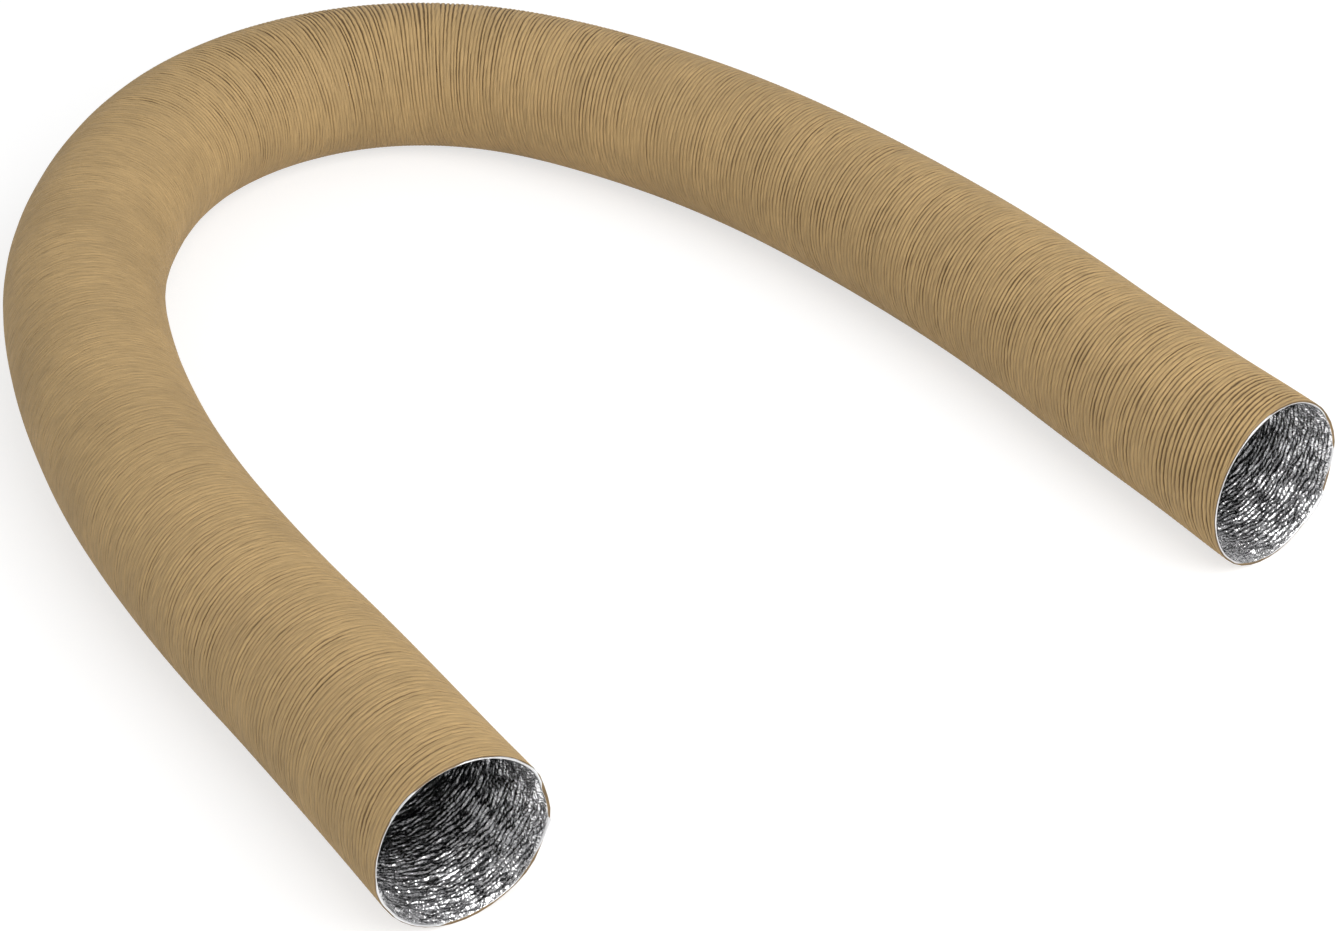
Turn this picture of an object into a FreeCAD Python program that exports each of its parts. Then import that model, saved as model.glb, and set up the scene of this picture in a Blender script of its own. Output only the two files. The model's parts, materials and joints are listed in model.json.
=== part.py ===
"""Flexible air duct for warm-air heating: a crimped three-ply hose, foil inside and kraft paper outside.

Units are millimetres. The duct lies on the plane Z = 0 in a horseshoe, with both mouths towards -Y.
The origin is at the centre of the whole duct's box in X and Y, on the plane it lies on.

Every ply is a tube round one centreline, so the plies fit inside each other wherever the duct goes.
Each ply is cut into spans with flat ends: the near half, the bend, which is where the duct flexes
when the far half is swung, and the far half. The outer ply's spans are shorter, eight in all.
"""
import FreeCAD
import Part
import math
import os

from FreeCAD import Vector

# ---- driving dimensions ----
BORE_DIAMETER = 75.0        # clear inside of the liner: slips over a 75 mm spigot
FOIL_THICKNESS = 0.20       # aluminium strip, crimped
KRAFT_THICKNESS = 0.45      # kraft paper strip, over its crimp
GLUE_LINE = 0.15            # between one ply and the next
ARC_SHARE = 0.45            # share of the shorter run that an arc's tangent takes

# ---- centreline, seen from above: corners of the runs, from the near mouth to the far mouth ----
ROUTE = [
    (-209, -326),           # near mouth
    (-212, -232),
    (-219, -134),
    (-218, -33),
    (-202, 67),
    (-173, 156),
    (-122, 229),
    (-69, 273),             # the bend, where the duct is curved most
    (-10, 292),
    (50, 286),
    (102, 254),
    (143, 194),
    (179, 109),
    (199, 15),
    (212, -88),
    (213, -189),
    (218, -283),            # far mouth
]

# ---- spans: each runs from the middle of one run of the route to the middle of another ----
# A span is (name, run it starts in, run it ends in); None is the open mouth.
BEND_FIRST_RUN = 6
BEND_MIDDLE_RUN = 8
BEND_LAST_RUN = 10
LONG_SPANS = [
    ("near_half", None, BEND_FIRST_RUN),
    ("bend", BEND_FIRST_RUN, BEND_LAST_RUN),
    ("far_half", BEND_LAST_RUN, None),
]
SHORT_SPANS = [
    ("near_end", None, 1),
    ("near_leg", 1, 4),
    ("near_shoulder", 4, BEND_FIRST_RUN),
    ("near_bend", BEND_FIRST_RUN, BEND_MIDDLE_RUN),
    ("far_bend", BEND_MIDDLE_RUN, BEND_LAST_RUN),
    ("far_shoulder", BEND_LAST_RUN, 12),
    ("far_leg", 12, 14),
    ("far_end", 14, None),
]

# ---- radii of the plies, from the bore outwards: (name, inner radius, outer radius, spans) ----
LINER_INNER = BORE_DIAMETER / 2
LINER_OUTER = LINER_INNER + FOIL_THICKNESS
MIDDLE_INNER = LINER_OUTER + GLUE_LINE
MIDDLE_OUTER = MIDDLE_INNER + KRAFT_THICKNESS
SKIN_INNER = MIDDLE_OUTER + GLUE_LINE
SKIN_OUTER = SKIN_INNER + KRAFT_THICKNESS
PLIES = [
    ("foil_liner", LINER_INNER, LINER_OUTER, LONG_SPANS),
    ("middle_kraft_ply", MIDDLE_INNER, MIDDLE_OUTER, LONG_SPANS),
    ("outer_kraft_ply", SKIN_INNER, SKIN_OUTER, SHORT_SPANS),
]

UP = Vector(0, 0, 1)
CENTRE_HEIGHT = SKIN_OUTER  # the duct lies on its outer ply


def corner_points():
    """The route's corners at the height of the duct's centreline."""
    return [Vector(x, y, CENTRE_HEIGHT) for x, y in ROUTE]


def turn_at(points, corner):
    """Angle in radians by which the route turns at a corner, positive to the left."""
    before = points[corner] - points[corner - 1]
    after = points[corner + 1] - points[corner]
    cross = before.x * after.y - before.y * after.x
    return math.atan2(cross, before.dot(after))


def tangent_length(points, corner):
    """Distance from a corner to the ends of its arc, along both of its runs."""
    before = (points[corner] - points[corner - 1]).Length
    after = (points[corner + 1] - points[corner]).Length
    return ARC_SHARE * min(before, after)


def arc_radius(points, corner):
    """Radius of the arc that rounds a corner, tangent to both runs."""
    return tangent_length(points, corner) / math.tan(abs(turn_at(points, corner)) / 2)


def corner_arc(points, corner):
    """The arc that rounds a corner, as an edge."""
    here = points[corner]
    back = (points[corner - 1] - here).normalize()
    ahead = (points[corner + 1] - here).normalize()
    reach = tangent_length(points, corner)
    inward = (back + ahead).normalize()
    radius = arc_radius(points, corner)
    to_centre = math.hypot(radius, reach)
    return Part.Arc(here + back * reach, here + inward * (to_centre - radius), here + ahead * reach).toShape()


def span_path(points, first_run, last_run):
    """Straight runs and tangent arcs, in one wire, from one run's middle, or a mouth, to another's."""
    start = points[0]
    corners_from = 1
    if first_run is not None:
        start = (points[first_run] + points[first_run + 1]) * 0.5
        corners_from = first_run + 1
    end = points[-1]
    corners_to = len(points) - 2
    if last_run is not None:
        end = (points[last_run] + points[last_run + 1]) * 0.5
        corners_to = last_run
    edges = []
    here = start
    for corner in range(corners_from, corners_to + 1):
        arc = corner_arc(points, corner)
        arc_start = arc.Vertexes[0].Point
        edges.append(Part.LineSegment(here, arc_start).toShape())
        edges.append(arc)
        here = arc.Vertexes[-1].Point
    edges.append(Part.LineSegment(here, end).toShape())
    return Part.Wire(edges)


def ring_face(centre, direction, inner, outer):
    """Flat ring square to the centreline."""
    outside = Part.Wire(Part.makeCircle(outer, centre, direction))
    inside = Part.Wire(Part.makeCircle(inner, centre, direction))
    return Part.makeFace([outside, inside], "Part::FaceMakerBullseye")


def tube(path, inner, outer):
    """One ply's tube along a path: a cylinder for each run and part of a torus for each arc."""
    pieces = []
    for edge in path.OrderedEdges:
        start = edge.firstVertex(True).Point
        end = edge.lastVertex(True).Point
        if edge.Curve.TypeId == "Part::GeomLine":
            ring = ring_face(start, end - start, inner, outer)
            pieces.append(ring.extrude(end - start))
            continue
        centre = edge.Curve.Center
        from_centre = start - centre
        sweep = math.atan2(from_centre.cross(end - centre).z, from_centre.dot(end - centre))
        ring = ring_face(start, UP.cross(from_centre), inner, outer)
        pieces.append(ring.revolve(centre, UP, math.degrees(sweep)))
    whole = pieces[0].multiFuse(pieces[1:]).removeSplitter()
    return whole.Solids[0]


def check_tube(name, solid, path, inner, outer):
    """Compare the tube's volume with its section times its length."""
    expected = math.pi * (outer ** 2 - inner ** 2) * path.Length
    ratio = solid.Volume / expected
    print(f"{name}: length {path.Length:.1f}, volume / (section x length) {ratio:.5f}, valid {solid.isValid()}")


def main():
    os.makedirs("parts", exist_ok=True)
    points = corner_points()
    radii = [arc_radius(points, corner) for corner in range(1, len(points) - 1)]
    print("arc radii:", ", ".join(f"{radius:.0f}" for radius in radii))
    print(f"centreline length: {span_path(points, None, None).Length:.1f}")
    for ply, inner, outer, spans in PLIES:
        for span, first_run, last_run in spans:
            path = span_path(points, first_run, last_run)
            name = f"{ply}_{span}"
            solid = tube(path, inner, outer)
            check_tube(name, solid, path, inner, outer)
            solid.exportStep(f"parts/{name}.step")


main()
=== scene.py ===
"""A flexible warm-air duct: two plies of crimped kraft paper round a crinkled aluminium foil liner.

The duct lies in a horseshoe on a pale floor, with both mouths open. All lengths are in metres.
"""

import json
import math

import bpy
import numpy as np
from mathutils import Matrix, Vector


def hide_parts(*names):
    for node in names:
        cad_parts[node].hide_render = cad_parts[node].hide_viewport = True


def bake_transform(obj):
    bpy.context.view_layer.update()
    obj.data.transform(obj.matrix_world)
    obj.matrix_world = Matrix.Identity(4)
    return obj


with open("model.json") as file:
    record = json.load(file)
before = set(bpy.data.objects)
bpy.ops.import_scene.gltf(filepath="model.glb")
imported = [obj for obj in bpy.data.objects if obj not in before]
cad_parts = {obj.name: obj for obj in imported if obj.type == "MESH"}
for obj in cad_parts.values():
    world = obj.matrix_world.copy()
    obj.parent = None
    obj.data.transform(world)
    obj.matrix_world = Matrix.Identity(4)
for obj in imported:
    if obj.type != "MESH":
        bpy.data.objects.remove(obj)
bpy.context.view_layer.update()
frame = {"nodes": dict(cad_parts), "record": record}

# The route of the duct's centreline on the floor, from the near mouth to the far mouth.
ROUTE = (
    (-0.209, -0.326),
    (-0.212, -0.232),
    (-0.219, -0.134),
    (-0.218, -0.033),
    (-0.202, 0.067),
    (-0.173, 0.156),
    (-0.122, 0.229),
    (-0.069, 0.273),
    (-0.010, 0.292),
    (0.050, 0.286),
    (0.102, 0.254),
    (0.143, 0.194),
    (0.179, 0.109),
    (0.199, 0.015),
    (0.212, -0.088),
    (0.213, -0.189),
    (0.218, -0.283),
)
ROUTE_ORDER = 3
ROUTE_RESOLUTION = 48

MOUNTS = {mount["name"]: mount for mount in frame["record"]["mounts"]}
BORE_RADIUS = MOUNTS["near_mouth"]["dims"]["r_mm"] / 1000
OUTER_RADIUS = MOUNTS["near_clip_seat"]["dims"]["r_mm"] / 1000
CENTRE_HEIGHT = MOUNTS["near_mouth"]["pos_m"][2]

# ---------------------------------------------------------------- the paper plies

# Radii of the sheets between the bore and the outside.
LINER_INSIDE = BORE_RADIUS - 0.0001
LINER_OUTSIDE = BORE_RADIUS
MIDDLE_INSIDE = BORE_RADIUS + 0.00005
MIDDLE_OUTSIDE = BORE_RADIUS + 0.0002
SKIN_INSIDE = BORE_RADIUS + 0.00025
SKIN_CREST = OUTER_RADIUS - 0.0001
DEEPEST_CREASE = SKIN_CREST - SKIN_INSIDE - 0.0002
SHEET_RING_GAP = 0.012

# The crimps are one strip's pleats, wound side by side in a slow helix. The profile is a pleat's rows of
# vertices: how far through the pleat, and the share of its depth that the row is sunk.
PLEAT_PITCH = 0.0024
PLEATS_A_TURN = 12
LEAD = PLEAT_PITCH * PLEATS_A_TURN
PLEAT_DEPTH = 0.0007
DEEP_CREASE = 0.0004
PLEAT_PROFILE = ((0.0, 1.0), (0.20, 0.32), (0.5, 0.0), (0.80, 0.32))
PLEAT_WANDER = 0.22
SWELL_HEIGHT = 0.0001
SWELL_LENGTH = 0.05
SKIN_COLUMNS = 40
MOUTH_EASE = 0.003

# How far the pleats are pulled open on the top, by distance from the near mouth, and how much more so on the
# side away from the other leg.
PLEAT_OPENING = (
    (0.00, 0.70, 0.6),
    (0.20, 0.58, 0.6),
    (0.32, 0.35, 0.4),
    (0.54, 0.35, 0.0),
    (0.66, 0.95, -0.2),
    (0.80, 1.25, 0.2),
    (0.88, 1.05, 0.0),
    (0.94, 0.65, -0.5),
    (1.06, 0.75, -0.7),
    (1.20, 0.75, -0.7),
    (1.34, 0.85, -0.7),
    (1.36, 1.40, -0.5),
    (1.38, 1.40, -0.5),
)

# The sides are this much less open than the top, and the underside twice as much, down to the least.
SIDE_CLOSING = 0.42
LEAST_OPENING = 0.25

# Colours of a pleat's crest, and of the painted shade in its crease.
OUTER_KRAFT = ((0.480, 0.322, 0.142, 1.0), (0.125, 0.070, 0.022, 1.0))
INNER_KRAFT = ((0.36, 0.235, 0.100, 1.0), (0.16, 0.10, 0.04, 1.0))
# The cut edge's darker colour is painted shade, standing in for the paper's edge in shadow.
SHADED_CUT_EDGE_KRAFT = ((0.205, 0.135, 0.062, 1.0), (0.09, 0.055, 0.022, 1.0))

# The brightness of the paper's pale and dark streaks, beside its crests; the pale one also colours the
# crests, partly as worn paper and partly as a painted highlight.
PALER = 1.35
DARKER = 0.62

# ---------------------------------------------------------------- the foil liner

# The liner's rings are close together only as deep as a mouth shows them.
LINER_COLUMNS = 180
LINER_FINE_RING = 0.0006
LINER_COARSE_RING = 0.012
LINER_RING_GROWTH = 0.05
LINER_SEEN_DEPTH = 0.080

# The foil is pulled open at the mouths, and its pleats and crumples fall to a share of that deeper in.
LINER_PLEAT_DEPTH = 0.0017
LINER_OPEN_LENGTH = 0.080
LINER_CLOSED_SHARE = 0.35
LINER_CALM_LENGTH = 0.002
CRINKLE_CELL = 0.0026
CRINKLE_DEPTH = 0.00022

FOIL_PALE = (0.91, 0.91, 0.915, 1.0)
FOIL_TARNISHED = (0.76, 0.76, 0.77, 1.0)

# ---------------------------------------------------------------- the mouths

# How a mouth differs from a square, round cut: the side away from the other leg, and the top, stand this
# much further out, and the ring is stretched by this share towards that side's upper quarter.
MOUTH_SHAPES = {
    "near": {"side": 0.0003, "top": 0.0003, "stretch": 0.0},
    "far": {"side": -0.0044, "top": -0.0017, "stretch": 0.022},
}
MOUTH_SHAPED_LENGTH = 0.060

# The rims' corners, and the straighter stretches between them: how much wider or narrower a mouth is,
# by turn.
MOUTH_CORNERS = {
    "near": (
        (0.00, 0.0),
        (0.10, 0.0003),
        (0.20, 0.0),
        (0.30, -0.0004),
        (0.39, 0.0003),
        (0.50, -0.0002),
        (0.58, 0.0),
        (0.66, 0.0006),
        (0.71, -0.0005),
        (0.768, 0.0007),
        (0.815, -0.0006),
        (0.86, 0.0004),
        (0.93, -0.0003),
    ),
    "far": (
        (0.00, 0.0),
        (0.09, -0.0005),
        (0.17, 0.0006),
        (0.22, -0.0005),
        (0.27, 0.0004),
        (0.35, -0.0003),
        (0.45, 0.0003),
        (0.60, 0.0),
        (0.80, 0.0002),
        (0.93, 0.0005),
    ),
}

# How far the foil is turned out over the paper at each mouth, by turn: 1 nearly hides the paper's edge.
LIP_REACH = {
    "near": (
        (0.00, 0.05),
        (0.03, 0.10),
        (0.05, 0.90),
        (0.22, 0.90),
        (0.24, 0.45),
        (0.35, 0.45),
        (0.36, 1.15),
        (0.41, 1.15),
        (0.42, 0.12),
        (0.49, 0.12),
        (0.51, 0.80),
        (0.66, 1.05),
        (0.69, 0.70),
        (0.70, 0.05),
        (0.766, 0.05),
        (0.772, 1.30),
        (0.82, 0.90),
        (0.845, 0.08),
        (0.87, 0.08),
        (0.89, 0.50),
        (0.94, 0.50),
        (0.96, 0.05),
    ),
    "far": (
        (0.00, 0.50),
        (0.04, 0.70),
        (0.10, 0.80),
        (0.106, 1.50),
        (0.17, 1.40),
        (0.176, 0.10),
        (0.205, 0.10),
        (0.22, 0.80),
        (0.26, 0.80),
        (0.27, 0.05),
        (0.34, 0.05),
        (0.36, 0.50),
        (0.52, 0.50),
        (0.53, 1.20),
        (0.58, 1.20),
        (0.60, 0.70),
        (0.80, 0.80),
        (0.90, 0.70),
        (0.93, 0.10),
        (0.98, 0.10),
    ),
}

# The lip's rows at a reach of 1: how far each stands out of the mouth, and out from the liner's inside.
LIP_PROFILE = ((0.0002, 0.0001), (0.0006, 0.0004), (0.0006, 0.0008), (0.0002, 0.0011))
LIP_CELLS = 43
LIP_UNEVENNESS = 0.20

# ---------------------------------------------------------------- floor, light and camera

FLOOR_HALF_SIDE = 4.0
FLOOR_GREY = (0.78, 0.78, 0.78, 1.0)
SEEN_FLOOR_GREY = (0.42, 0.42, 0.42, 1.0)
SEEN_FLOOR_GLOW = 0.68
WHITE = (1.0, 1.0, 1.0, 1.0)

# The world's strength as light, and in reflections at its dimmest, in front. Behind it is white.
WORLD_STRENGTH = 0.55
FRONT_ROOM = 0.15

LAMP_PLACE = (0.26, -1.80, 1.56)
LAMP_TARGET = (0.0, 0.0, 0.0)
LAMP_SIDE = 2.0
LAMP_POWER = 46

CAMERA_TARGET = Vector((0.023, -0.084, 0.0))
CAMERA_AZIMUTH = 30.02
CAMERA_ELEVATION = 32.86
CAMERA_DISTANCE = 1.596
CAMERA_LENS = 91.26
CAMERA_SENSOR = 36

NOISE_ROWS = 1009


def smooth_noise(along, turn, cells, seed):
    """Seeded noise from -1 to 1: along counts cells down the duct, and cells of them close once round it."""
    values = np.random.default_rng(seed).uniform(-1, 1, (NOISE_ROWS, cells))
    row = np.floor(along).astype(int)
    column = np.floor(turn * cells).astype(int)
    down = along - row
    across = turn * cells - column
    down = down * down * (3 - 2 * down)
    across = across * across * (3 - 2 * across)

    def corner(i, j):
        return values[(row + i) % NOISE_ROWS, (column + j) % cells]

    near = corner(0, 0) * (1 - across) + corner(0, 1) * across
    far = corner(1, 0) * (1 - across) + corner(1, 1) * across
    return near * (1 - down) + far * down


def smooth_step(share):
    """0 below 0, 1 above 1, and a smooth rise between."""
    share = np.clip(share, 0.0, 1.0)
    return share * share * (3 - 2 * share)


def cells_round_bore(size):
    """How many noise cells of that size go round the bore."""
    return round(2 * np.pi * BORE_RADIUS / size)


def route_line():
    """The points of the route's NURBS spline, as Blender evaluates it."""
    curve = bpy.data.curves.new("route", "CURVE")
    curve.dimensions = "3D"
    spline = curve.splines.new("NURBS")
    spline.points.add(len(ROUTE) - 1)
    for point, (x, y) in zip(spline.points, ROUTE):
        point.co = (x, y, CENTRE_HEIGHT, 1.0)
    spline.order_u = ROUTE_ORDER
    spline.use_endpoint_u = True
    spline.resolution_u = ROUTE_RESOLUTION
    holder = bpy.data.objects.new("route", curve)
    mesh = bpy.data.meshes.new_from_object(holder)
    points = np.array([vertex.co for vertex in mesh.vertices])
    bpy.data.objects.remove(holder)
    bpy.data.curves.remove(curve)
    bpy.data.meshes.remove(mesh)
    return points


class Centreline:
    """The duct's middle line, with places round it."""

    def __init__(self, points):
        self.points = points
        steps = np.linalg.norm(np.diff(points, axis=0), axis=1)
        self.distances = np.concatenate(([0.0], np.cumsum(steps)))
        self.length = self.distances[-1]
        self.tangents = np.gradient(points, self.distances, axis=0)

    def to_mouth(self, distance):
        """How far the nearer mouth is."""
        return np.minimum(distance, self.length - distance)

    def at(self, distance, values):
        """Vectors known at the line's points, as they are at those distances."""
        return np.stack([np.interp(distance, self.distances, values[:, i]) for i in range(3)], axis=-1)

    def shaped(self, distance, turn, radius):
        """Distance and radius, changed near the mouths by their slant, their stretch and their corners."""
        angle = 2 * np.pi * turn - np.pi / 2
        for mouth, to_mouth, outward in (("near", distance, -1), ("far", self.length - distance, 1)):
            shape = MOUTH_SHAPES[mouth]
            share = smooth_step(1 - to_mouth / MOUTH_SHAPED_LENGTH)
            slant = shape["side"] * np.cos(angle) + shape["top"] * np.sin(angle)
            distance = distance + outward * share * slant
            turns, sizes = zip(*MOUTH_CORNERS[mouth])
            corner = share**3 * np.interp(turn, turns, sizes, period=1.0)
            radius = radius * (1 + share * shape["stretch"] * np.sin(2 * angle)) + corner
        return distance, radius

    def place(self, distance, turn, radius):
        """The point that far from the near mouth, that share of a turn round from below, at that radius."""
        distance, radius = self.shaped(distance, turn, radius)
        angle = 2 * np.pi * turn - np.pi / 2
        held = np.clip(distance, 0, self.length)
        ahead = self.at(held, self.tangents)
        ahead /= np.linalg.norm(ahead, axis=-1, keepdims=True)
        left = np.stack([-ahead[..., 1], ahead[..., 0], np.zeros_like(held)], axis=-1)
        out = np.cos(angle)[..., None] * left + np.sin(angle)[..., None] * np.array((0.0, 0.0, 1.0))
        past_end = (distance - held)[..., None] * ahead
        return self.at(held, self.points) + past_end + radius[..., None] * out


def unrolled(distance, turn):
    """Where a point would be on a straight duct along X, for patterns that bend with the duct."""
    angle = 2 * np.pi * turn
    return np.stack([distance, OUTER_RADIUS * np.cos(angle), OUTER_RADIUS * np.sin(angle)], axis=-1)


def even_rings(start, end, gap):
    """Distances from start to end, about a gap apart."""
    return np.linspace(start, end, math.ceil(abs(end - start) / gap))


def ring_faces(rings):
    """Quads between one ring of vertex numbers and the next, all round."""
    faces = []
    for first, second in zip(rings[:-1], rings[1:]):
        faces.append(np.stack([np.roll(first, -1), first, second, np.roll(second, -1)], axis=-1))
    return np.concatenate(faces)


def add_piece(name, points, faces, flat_count, materials):
    """A mesh object in the place of the CAD nodes named after it. Its last flat_count faces are flat."""
    mesh = bpy.data.meshes.new(name)
    mesh.from_pydata(points.tolist(), [], faces)
    smooth = np.ones(len(mesh.polygons), dtype=bool)
    smooth[len(smooth) - flat_count:] = False
    mesh.polygons.foreach_set("use_smooth", smooth)
    for material in materials:
        mesh.materials.append(material)
    piece = bpy.data.objects.new(name, mesh)
    bpy.context.scene.collection.objects.link(piece)
    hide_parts(*sorted(node for node in frame["nodes"] if node.startswith(name)))
    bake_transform(piece)
    return piece


def add_attribute(piece, name, values):
    """A number or a vector for each vertex, which the piece's material reads."""
    kind, field = ("FLOAT_VECTOR", "vector") if values.ndim == 2 else ("FLOAT", "value")
    attribute = piece.data.attributes.new(name, kind, "POINT")
    attribute.data.foreach_set(field, values.astype(np.float32).ravel())


# ---------------------------------------------------------------- materials


def shader_node(tree, kind, inputs=(), **settings):
    """A new shader node, with its inputs set to values or linked to other nodes' outputs."""
    made = tree.nodes.new("ShaderNode" + kind)
    for key, value in settings.items():
        setattr(made, key, value)
    for key, value in dict(inputs).items():
        if isinstance(value, bpy.types.NodeSocket):
            tree.links.new(value, made.inputs[key])
        else:
            made.inputs[key].default_value = value
    return made


def new_material(name):
    """A node material with an empty tree."""
    material = bpy.data.materials.new(name)
    material.use_nodes = True
    material.node_tree.nodes.clear()
    return material, material.node_tree


def set_surface(tree, shader):
    output = shader_node(tree, "OutputMaterial")
    tree.links.new(shader, output.inputs["Surface"])


def maths(tree, operation, *values):
    return shader_node(tree, "Math", dict(enumerate(values)), operation=operation).outputs["Value"]


def attribute_number(tree, name):
    return shader_node(tree, "Attribute", attribute_name=name).outputs["Fac"]


def remapped(tree, value, low, high, to_low, to_high):
    inputs = {"Value": value, "From Min": low, "From Max": high, "To Min": to_low, "To Max": to_high}
    return shader_node(tree, "MapRange", inputs).outputs["Result"]


def mixed_colour(tree, factor, first, second):
    """From the first colour at a factor of 0 to the second at 1. Inputs 6 and 7 are the node's colours."""
    return shader_node(tree, "Mix", {0: factor, 6: first, 7: second}, data_type="RGBA").outputs[2]


def stretched_noise(tree, scale, detail=2.0, roughness=0.5):
    """Noise on the unrolled duct, with a scale of its own along and round it."""
    place = shader_node(tree, "Attribute", attribute_name="unrolled")
    mapping = shader_node(tree, "Mapping", {"Vector": place.outputs["Vector"], "Scale": scale})
    inputs = {"Vector": mapping.outputs["Vector"], "Scale": 1.0, "Detail": detail, "Roughness": roughness}
    return shader_node(tree, "TexNoise", inputs).outputs["Fac"]


def bumped(tree, height, strength, distance, under=None):
    """The normal of a surface raised by height times distance, on top of another bump's normal if given."""
    inputs = {"Height": height, "Strength": strength, "Distance": distance}
    if under is not None:
        inputs["Normal"] = under
    return shader_node(tree, "Bump", inputs).outputs["Normal"]


def shaded(colour, factor):
    """The colour, that many times as bright."""
    return tuple(min(1.0, factor * share) for share in colour[:3]) + (1.0,)


def distance_from_crease(tree, jitter):
    """In pleats: 0 in a crease and 0.5 on a crest, on the same helix as the mesh's pleats."""
    place = shader_node(tree, "Attribute", attribute_name="unrolled").outputs["Vector"]
    parts = shader_node(tree, "SeparateXYZ", {"Vector": place})
    angle = maths(tree, "ARCTAN2", parts.outputs["Z"], parts.outputs["Y"])
    straight = maths(tree, "DIVIDE", parts.outputs["X"], PLEAT_PITCH)
    helix = maths(tree, "MULTIPLY", angle, PLEATS_A_TURN / (2 * math.pi))
    wander = attribute_number(tree, "wander")
    phase = maths(tree, "SUBTRACT", maths(tree, "SUBTRACT", straight, helix), wander)
    phase = maths(tree, "ADD", phase, remapped(tree, jitter, 0.3, 0.7, -0.10, 0.10))
    from_crest = maths(tree, "ABSOLUTE", maths(tree, "SUBTRACT", maths(tree, "FRACT", phase), 0.5))
    return maths(tree, "SUBTRACT", 0.5, from_crest)


def kraft_material(name, crest, crease_shade):
    """Crimped kraft paper: creases darkened with painted shade, crests paler with wear and a painted
    highlight, streaks round the duct, blotches and fibres.
    """
    material, tree = new_material(name)
    streaks = stretched_noise(tree, (1700, 90, 90), detail=4.0, roughness=0.6)
    fibres = stretched_noise(tree, (3200, 600, 600))
    blotches = stretched_noise(tree, (22, 22, 22))
    jitter = stretched_noise(tree, (300, 80, 80))
    paler = shaded(crest, PALER)
    darker = shaded(crest, DARKER)

    # Painted shade in each crease, darker and wider where its pleat is pulled open.
    opened = attribute_number(tree, "opened")
    from_crease = distance_from_crease(tree, jitter)
    line_width = remapped(tree, opened, 0.0, 1.2, 0.05, 0.17)
    crease = remapped(tree, maths(tree, "SUBTRACT", from_crease, line_width), -0.06, 0.05, 1.0, 0.0)
    crease = maths(tree, "MULTIPLY", crease, remapped(tree, opened, 0.05, 1.0, 0.0, 0.95))
    # Paler crests: partly worn paper, partly a painted highlight.
    crest_wear_and_highlight = maths(tree, "MULTIPLY", remapped(tree, from_crease, 0.30, 0.46, 0.0, 1.0), opened)

    colour = mixed_colour(tree, remapped(tree, streaks, 0.50, 0.68, 0.0, 0.7), crest, paler)
    colour = mixed_colour(tree, remapped(tree, streaks, 0.49, 0.33, 0.0, 0.7), colour, darker)
    colour = mixed_colour(tree, remapped(tree, blotches, 0.35, 0.70, 0.0, 0.35), colour, darker)
    # Painted highlight, partly wear, along the crests.
    colour = mixed_colour(tree, remapped(tree, crest_wear_and_highlight, 0.1, 1.2, 0.0, 0.8), colour, paler)
    # Painted shade: the crease colour laid along each crease line.
    colour = mixed_colour(tree, crease, colour, crease_shade)

    normal = bumped(tree, streaks, 1.0, 0.0005)
    normal = bumped(tree, fibres, 0.6, 0.0001, under=normal)
    normal = bumped(tree, crease, 1.0, -0.0003, under=normal)
    roughness = remapped(tree, fibres, 0.3, 0.7, 0.62, 0.85)
    inputs = {"Base Color": colour, "Roughness": roughness, "Normal": normal}
    set_surface(tree, shader_node(tree, "BsdfPrincipled", inputs).outputs["BSDF"])
    return material


def foil_material(name, grain_depth, smoothest, roughest):
    """Bright aluminium foil, finely crumpled all over."""
    material, tree = new_material(name)
    grain = stretched_noise(tree, (720, 680, 680), detail=1.0)
    tarnish = stretched_noise(tree, (40, 30, 30), detail=3.0)
    colour = mixed_colour(tree, remapped(tree, tarnish, 0.35, 0.70, 0.0, 1.0), FOIL_PALE, FOIL_TARNISHED)
    roughness = remapped(tree, grain, 0.3, 0.7, smoothest, roughest)
    normal = bumped(tree, grain, attribute_number(tree, "crumpled"), grain_depth)
    inputs = {"Base Color": colour, "Metallic": 1.0, "Roughness": roughness, "Normal": normal}
    set_surface(tree, shader_node(tree, "BsdfPrincipled", inputs).outputs["BSDF"])
    return material


# ---------------------------------------------------------------- the outer kraft ply


def pleat_depth(pleat, turn, distance):
    """How deep the crease of each pleat is there: uneven, broken, and much deeper in some places."""
    places, shares, leans = zip(*PLEAT_OPENING)
    lean = np.interp(distance, places, leans) * np.sin(2 * np.pi * turn)
    height = 1 - SIDE_CLOSING - SIDE_CLOSING * np.cos(2 * np.pi * turn)
    opening = np.maximum(LEAST_OPENING, np.interp(distance, places, shares) * (1 + lean) * height)
    uneven = 0.76 + 0.36 * smooth_noise(pleat, turn, 7, seed=11)
    broken = 0.84 + 0.34 * smooth_noise(pleat, turn, 19, seed=12)
    crease = np.clip(smooth_noise(pleat, turn, 6, seed=13) - 0.5, 0, 1) / 0.5
    return np.minimum(opening * (PLEAT_DEPTH * uneven * broken + DEEP_CREASE * crease), DEEPEST_CREASE)


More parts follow.
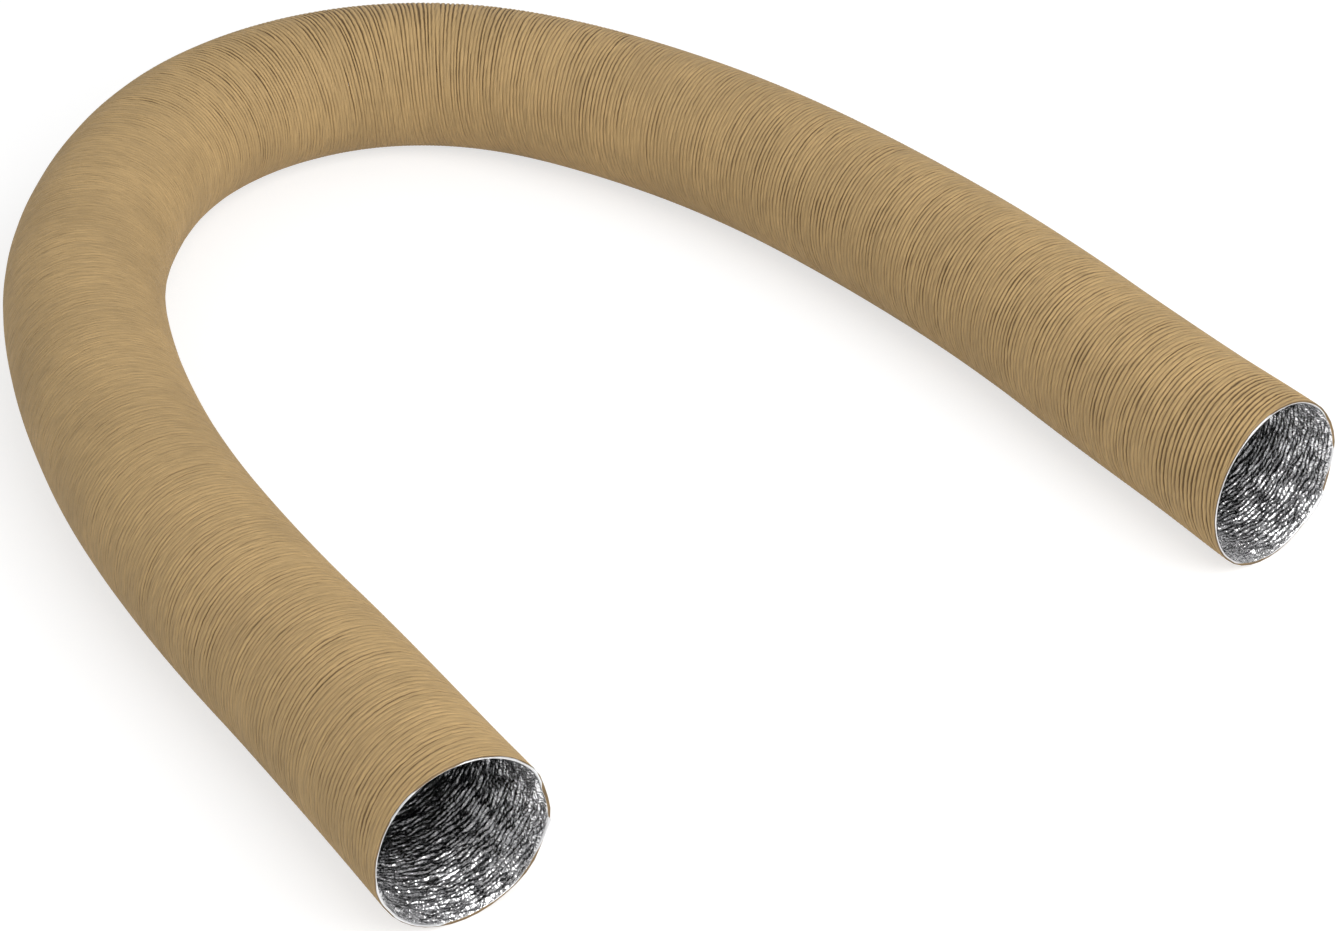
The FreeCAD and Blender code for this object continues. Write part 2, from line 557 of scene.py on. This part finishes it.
def crimped_grid(line):
    """The skin's outer face, row by row of each pleat: distance, turn, radius, pleat depth and wander.

    Its first and last pleats are past the mouths, so that the slanting rows reach them all round.
    """
    spare = PLEATS_A_TURN + 2
    steps = len(PLEAT_PROFILE)
    row = np.arange(-spare * steps, (math.ceil(line.length / PLEAT_PITCH) + spare) * steps)
    parts, sunk = np.array(PLEAT_PROFILE).T
    part = parts[row % steps][:, None]
    turn, pleat = np.meshgrid(np.arange(SKIN_COLUMNS) / SKIN_COLUMNS, (row // steps).astype(float))

    wander = PLEAT_WANDER * smooth_noise((pleat + part) / 1.5, turn, 6, seed=14)
    distance = (pleat + part + wander) * PLEAT_PITCH + LEAD * turn
    eased = np.clip(line.to_mouth(distance) / MOUTH_EASE, 0.0, 1.0)
    depth = pleat_depth(pleat, turn, distance) * eased
    swell = SWELL_HEIGHT * smooth_noise(distance / SWELL_LENGTH, turn, 5, seed=15)
    radius = SKIN_CREST + swell - sunk[row % steps][:, None] * depth
    return distance, turn, radius, depth, wander


def numbered(distance, length):
    """Which vertices of the grid are inside the duct, a number for each, and the numbers of the two rims.

    Vertices past a mouth are all the one on its rim, so the helix is cut square there.
    """
    snap = PLEAT_PITCH / (2 * len(PLEAT_PROFILE))
    inside = (distance > snap) & (distance < length - snap)
    number = np.zeros(distance.shape, dtype=int)
    number[inside] = np.arange(inside.sum())
    near_rim = inside.sum() + np.arange(SKIN_COLUMNS)
    far_rim = near_rim + SKIN_COLUMNS
    number = np.where(distance <= snap, near_rim, number)
    number = np.where(distance >= length - snap, far_rim, number)
    return inside, number, near_rim, far_rim


def helix_faces(number, far_rim):
    """The grid's faces. Once round, a row meets the row that is a turn's pleats further on."""
    shift = PLEATS_A_TURN * len(PLEAT_PROFILE)
    wrapped = np.concatenate([number[shift:, 0], np.full(shift, far_rim[0])])[:, None]
    number = np.concatenate([number, wrapped], axis=1)
    quads = np.stack([number[:-1, :-1], number[:-1, 1:], number[1:, 1:], number[1:, :-1]], axis=-1)
    faces = [list(dict.fromkeys(quad)) for quad in quads.reshape(-1, 4).tolist()]
    return [face for face in faces if len(face) > 2]


def build_skin(line):
    """The outer kraft ply: every pleat is a real crease, and the creases run round in a slow helix."""
    distance, turn, radius, depth, wander = crimped_grid(line)
    inside, number, near_rim, far_rim = numbered(distance, line.length)
    crimped_faces = helix_faces(number, far_rim)

    # The ply's inner face, and the cut edges that join it to the outer one.
    rim_turn = turn[0]
    inner_rings = even_rings(0, line.length, SHEET_RING_GAP)
    inner_distance, inner_turn = np.meshgrid(inner_rings, rim_turn, indexing="ij")
    inner_number = far_rim[-1] + 1 + np.arange(inner_distance.size).reshape(inner_distance.shape)
    inner_faces = ring_faces(inner_number)
    near_edge = ring_faces([near_rim, inner_number[0]])
    far_edge = ring_faces([inner_number[-1], far_rim])
    edge_faces = np.concatenate([near_edge, far_edge])

    rims = np.repeat((0.0, line.length), SKIN_COLUMNS)
    all_distance = np.concatenate([distance[inside], rims, inner_distance.ravel()])
    all_turn = np.concatenate([turn[inside], rim_turn, rim_turn, inner_turn.ravel()])
    plain = np.zeros(len(rims) + inner_distance.size)
    rim_radius = np.full(len(rims), SKIN_CREST)
    all_radius = np.concatenate([radius[inside], rim_radius, np.full(inner_distance.size, SKIN_INSIDE)])

    piece = add_piece(
        "outer_kraft_ply",
        line.place(all_distance, all_turn, all_radius),
        crimped_faces + inner_faces.tolist() + edge_faces.tolist(),
        len(edge_faces),
        # The cut edges are coloured darker as painted shade.
        [kraft_material("outer_kraft", *OUTER_KRAFT), kraft_material("kraft_cut_edge_painted_shade", *SHADED_CUT_EDGE_KRAFT)],
    )
    cut = np.zeros(len(piece.data.polygons), dtype=int)
    cut[len(crimped_faces):] = 1
    piece.data.polygons.foreach_set("material_index", cut)
    add_attribute(piece, "unrolled", unrolled(all_distance, all_turn))
    add_attribute(piece, "opened", np.concatenate([(depth / PLEAT_DEPTH)[inside], plain]))
    add_attribute(piece, "wander", np.concatenate([wander[inside], plain]))


# ---------------------------------------------------------------- the inner kraft ply


def build_middle_ply(line):
    """The inner kraft ply: a plain sheet between the skin and the liner, which only its edges show."""
    columns = 2 * SKIN_COLUMNS
    outer_rings = even_rings(0, line.length, SHEET_RING_GAP)
    half = len(outer_rings)
    ring_distance = np.concatenate([outer_rings, outer_rings[::-1]])
    distance, turn = np.meshgrid(ring_distance, np.arange(columns) / columns, indexing="ij")
    radius = np.full(distance.shape, MIDDLE_OUTSIDE)
    radius[half:] = MIDDLE_INSIDE

    rings = np.arange(distance.size).reshape(distance.shape)
    rings = [*rings, rings[0]]
    wall_faces = np.concatenate([ring_faces(rings[:half]), ring_faces(rings[half:-1])])
    edge_faces = np.concatenate([ring_faces(rings[half - 1:half + 1]), ring_faces(rings[-2:])])
    faces = np.concatenate([wall_faces, edge_faces])[:, ::-1].tolist()

    piece = add_piece(
        "middle_kraft_ply",
        line.place(distance.ravel(), turn.ravel(), radius.ravel()),
        faces,
        len(edge_faces),
        [kraft_material("inner_kraft", *INNER_KRAFT)],
    )
    add_attribute(piece, "unrolled", unrolled(distance.ravel(), turn.ravel()))
    add_attribute(piece, "opened", np.zeros(distance.size))
    add_attribute(piece, "wander", np.zeros(distance.size))


# ---------------------------------------------------------------- the foil liner


def liner_rings(length):
    """Distances of the liner's rings from the near mouth, closer together behind each mouth."""
    distances = [0.0]
    while distances[-1] < length / 2:
        past_seen = max(0.0, distances[-1] - LINER_SEEN_DEPTH)
        gap = min(LINER_COARSE_RING, LINER_FINE_RING + LINER_RING_GROWTH * past_seen)
        distances.append(distances[-1] + gap)
    half = np.array(distances[:-1])
    return np.concatenate([half, (length - half)[::-1]])


def foil_opened(line, distance):
    """How far the foil is pulled open: 1 at a mouth, and less deeper in."""
    depth = np.clip(line.to_mouth(distance) / LINER_OPEN_LENGTH, 0.0, 1.0)
    return 1 - (1 - LINER_CLOSED_SHARE) * depth


def crumpled_radius(line, distance, turn):
    """The liner's inner face: pleats on the skin's helix, unevenly deep, under a fine crinkle."""
    crinkle = smooth_noise(distance / CRINKLE_CELL, turn, cells_round_bore(CRINKLE_CELL), seed=21)
    drift = smooth_noise(distance / 0.004, turn, cells_round_bore(0.005), seed=22)
    uneven = 0.70 + 0.5 * smooth_noise(distance / 0.0024, turn, cells_round_bore(0.0028), seed=23)
    phase = (distance - LEAD * turn) / PLEAT_PITCH + 0.5 * drift
    pleat = 0.5 - 0.5 * np.cos(2 * np.pi * phase)
    calm = np.clip(line.to_mouth(distance) / LINER_CALM_LENGTH, 0.0, 1.0)
    opened = foil_opened(line, distance)
    sunk = opened * LINER_PLEAT_DEPTH * uneven * pleat + CRINKLE_DEPTH * (1 + crinkle)
    return LINER_INSIDE - calm * sunk


def lip_rows(mouth, turn, seed):
    """How far each row of a mouth's lip stands out of the mouth, and its radius, uneven round the mouth."""
    turns, shares = zip(*LIP_REACH[mouth])
    reach = np.interp(turn, turns, shares, period=1.0)
    reach = reach * (1 + LIP_UNEVENNESS * smooth_noise(0 * turn, turn, LIP_CELLS, seed=seed))
    proud, out = np.array(LIP_PROFILE).T[..., None] * reach
    return proud, LINER_INSIDE + out


def lip_faces(ring_count, far_lip_ring):
    """1 for each face between a lip's rows or beside them, and 0 for the others, ring by ring."""
    ring = np.repeat(np.arange(ring_count), LINER_COLUMNS)
    count = len(LIP_PROFILE)
    near_lip = (ring < count) | (ring == ring_count - 1)
    far_lip = (ring >= far_lip_ring - 1) & (ring < far_lip_ring + count)
    return (near_lip | far_lip).astype(int)


def build_liner(line):
    """The foil liner: crumpled over its inner face, and turned out over the paper's edge at each mouth."""
    turn_once = np.arange(LINER_COLUMNS) / LINER_COLUMNS
    inner_distance, inner_turn = np.meshgrid(liner_rings(line.length), turn_once, indexing="ij")
    outer_rings = even_rings(line.length, 0, 2 * SHEET_RING_GAP)
    outer_distance = np.repeat(outer_rings[:, None], LINER_COLUMNS, axis=1)
    near_proud, near_radius = lip_rows("near", turn_once, seed=24)
    far_proud, far_radius = lip_rows("far", turn_once, seed=25)

    # The rings, in order: near lip, inner face, far lip, outer face.
    inner_radius = crumpled_radius(line, inner_distance, inner_turn)
    outer_radius = np.full(outer_distance.shape, LINER_OUTSIDE)
    distance = np.concatenate([-near_proud[::-1], inner_distance, line.length + far_proud, outer_distance])
    radius = np.concatenate([near_radius[::-1], inner_radius, far_radius, outer_radius])
    turn = np.repeat(turn_once[None, :], len(distance), axis=0)
    rings = np.arange(distance.size).reshape(distance.shape)

    inside_foil = foil_material("crinkled_foil", grain_depth=0.0010, smoothest=0.15, roughest=0.26)
    lip_foil = foil_material("foil_edge", grain_depth=0.0003, smoothest=0.38, roughest=0.50)
    piece = add_piece(
        "foil_liner",
        line.place(distance.ravel(), turn.ravel(), radius.ravel()),
        ring_faces([*rings, rings[0]]).tolist(),
        0,
        [inside_foil, lip_foil],
    )
    on_lip = lip_faces(len(rings), len(LIP_PROFILE) + len(inner_distance))
    piece.data.polygons.foreach_set("material_index", on_lip)
    add_attribute(piece, "unrolled", unrolled(distance.ravel(), turn.ravel()))
    add_attribute(piece, "crumpled", foil_opened(line, distance.ravel()))


# ---------------------------------------------------------------- floor, light and camera


def seen_or_reflected(tree, rays):
    """1 for rays from the camera and for reflected ones, and 0 for the rest."""
    return maths(tree, "MAXIMUM", rays.outputs["Is Camera Ray"], rays.outputs["Is Glossy Ray"])


def build_floor():
    """A white floor. Seen or reflected it glows like the backdrop, and it keeps a faint shadow."""
    mesh = bpy.data.meshes.new("floor")
    side = FLOOR_HALF_SIDE
    corners = [(-side, -side, 0), (side, -side, 0), (side, side, 0), (-side, side, 0)]
    mesh.from_pydata(corners, [], [(0, 1, 2, 3)])
    floor = bpy.data.objects.new("floor", mesh)
    bpy.context.scene.collection.objects.link(floor)
    material, tree = new_material("white_floor")
    paint = shader_node(tree, "BsdfDiffuse", {"Color": FLOOR_GREY}).outputs["BSDF"]
    faint = shader_node(tree, "BsdfDiffuse", {"Color": SEEN_FLOOR_GREY}).outputs["BSDF"]
    glow = shader_node(tree, "Emission", {"Color": WHITE, "Strength": SEEN_FLOOR_GLOW}).outputs["Emission"]
    glowing = shader_node(tree, "AddShader", {0: faint, 1: glow}).outputs["Shader"]
    seen = seen_or_reflected(tree, shader_node(tree, "LightPath"))
    set_surface(tree, shader_node(tree, "MixShader", {0: seen, 1: paint, 2: glowing}).outputs["Shader"])
    mesh.materials.append(material)


def build_world():
    """A white sweep behind the duct, and in reflections a dimmer room in front, where the lamp stands."""
    world = bpy.data.worlds.new("studio")
    bpy.context.scene.world = world
    world.use_nodes = True
    tree = world.node_tree
    tree.nodes.clear()
    rays = shader_node(tree, "LightPath")
    seen = seen_or_reflected(tree, rays)
    way = shader_node(tree, "TexCoord")
    parts = shader_node(tree, "SeparateXYZ", {"Vector": way.outputs["Generated"]})
    room = remapped(tree, parts.outputs["Y"], -0.3, 0.3, FRONT_ROOM, 1.0)
    shown = maths(tree, "MAXIMUM", rays.outputs["Is Camera Ray"], room)
    strength = remapped(tree, seen, 0.0, 1.0, WORLD_STRENGTH, shown)
    light = shader_node(tree, "Background", {"Color": WHITE, "Strength": strength})
    output = shader_node(tree, "OutputWorld")
    tree.links.new(light.outputs["Background"], output.inputs["Surface"])


def add_lamp():
    lamp = bpy.data.lights.new("front_light", "AREA")
    lamp.shape = "SQUARE"
    lamp.size = LAMP_SIDE
    lamp.energy = LAMP_POWER
    holder = bpy.data.objects.new("front_light", lamp)
    holder.location = LAMP_PLACE
    holder.rotation_euler = (Vector(LAMP_TARGET) - Vector(LAMP_PLACE)).to_track_quat("-Z", "Y").to_euler()
    bpy.context.scene.collection.objects.link(holder)


def add_camera():
    azimuth = math.radians(CAMERA_AZIMUTH)
    elevation = math.radians(CAMERA_ELEVATION)
    out = Vector((
        -math.sin(azimuth) * math.cos(elevation),
        -math.cos(azimuth) * math.cos(elevation),
        math.sin(elevation),
    ))
    camera = bpy.data.cameras.new("camera")
    camera.lens = CAMERA_LENS
    camera.sensor_width = CAMERA_SENSOR
    holder = bpy.data.objects.new("camera", camera)
    holder.location = CAMERA_TARGET + CAMERA_DISTANCE * out
    holder.rotation_euler = (-out).to_track_quat("-Z", "Y").to_euler()
    bpy.context.scene.collection.objects.link(holder)
    bpy.context.scene.camera = holder


add_camera()
duct = Centreline(route_line())
build_skin(duct)
build_middle_ply(duct)
build_liner(duct)
build_floor()
build_world()
add_lamp()
bpy.context.scene.view_settings.view_transform = "Standard"
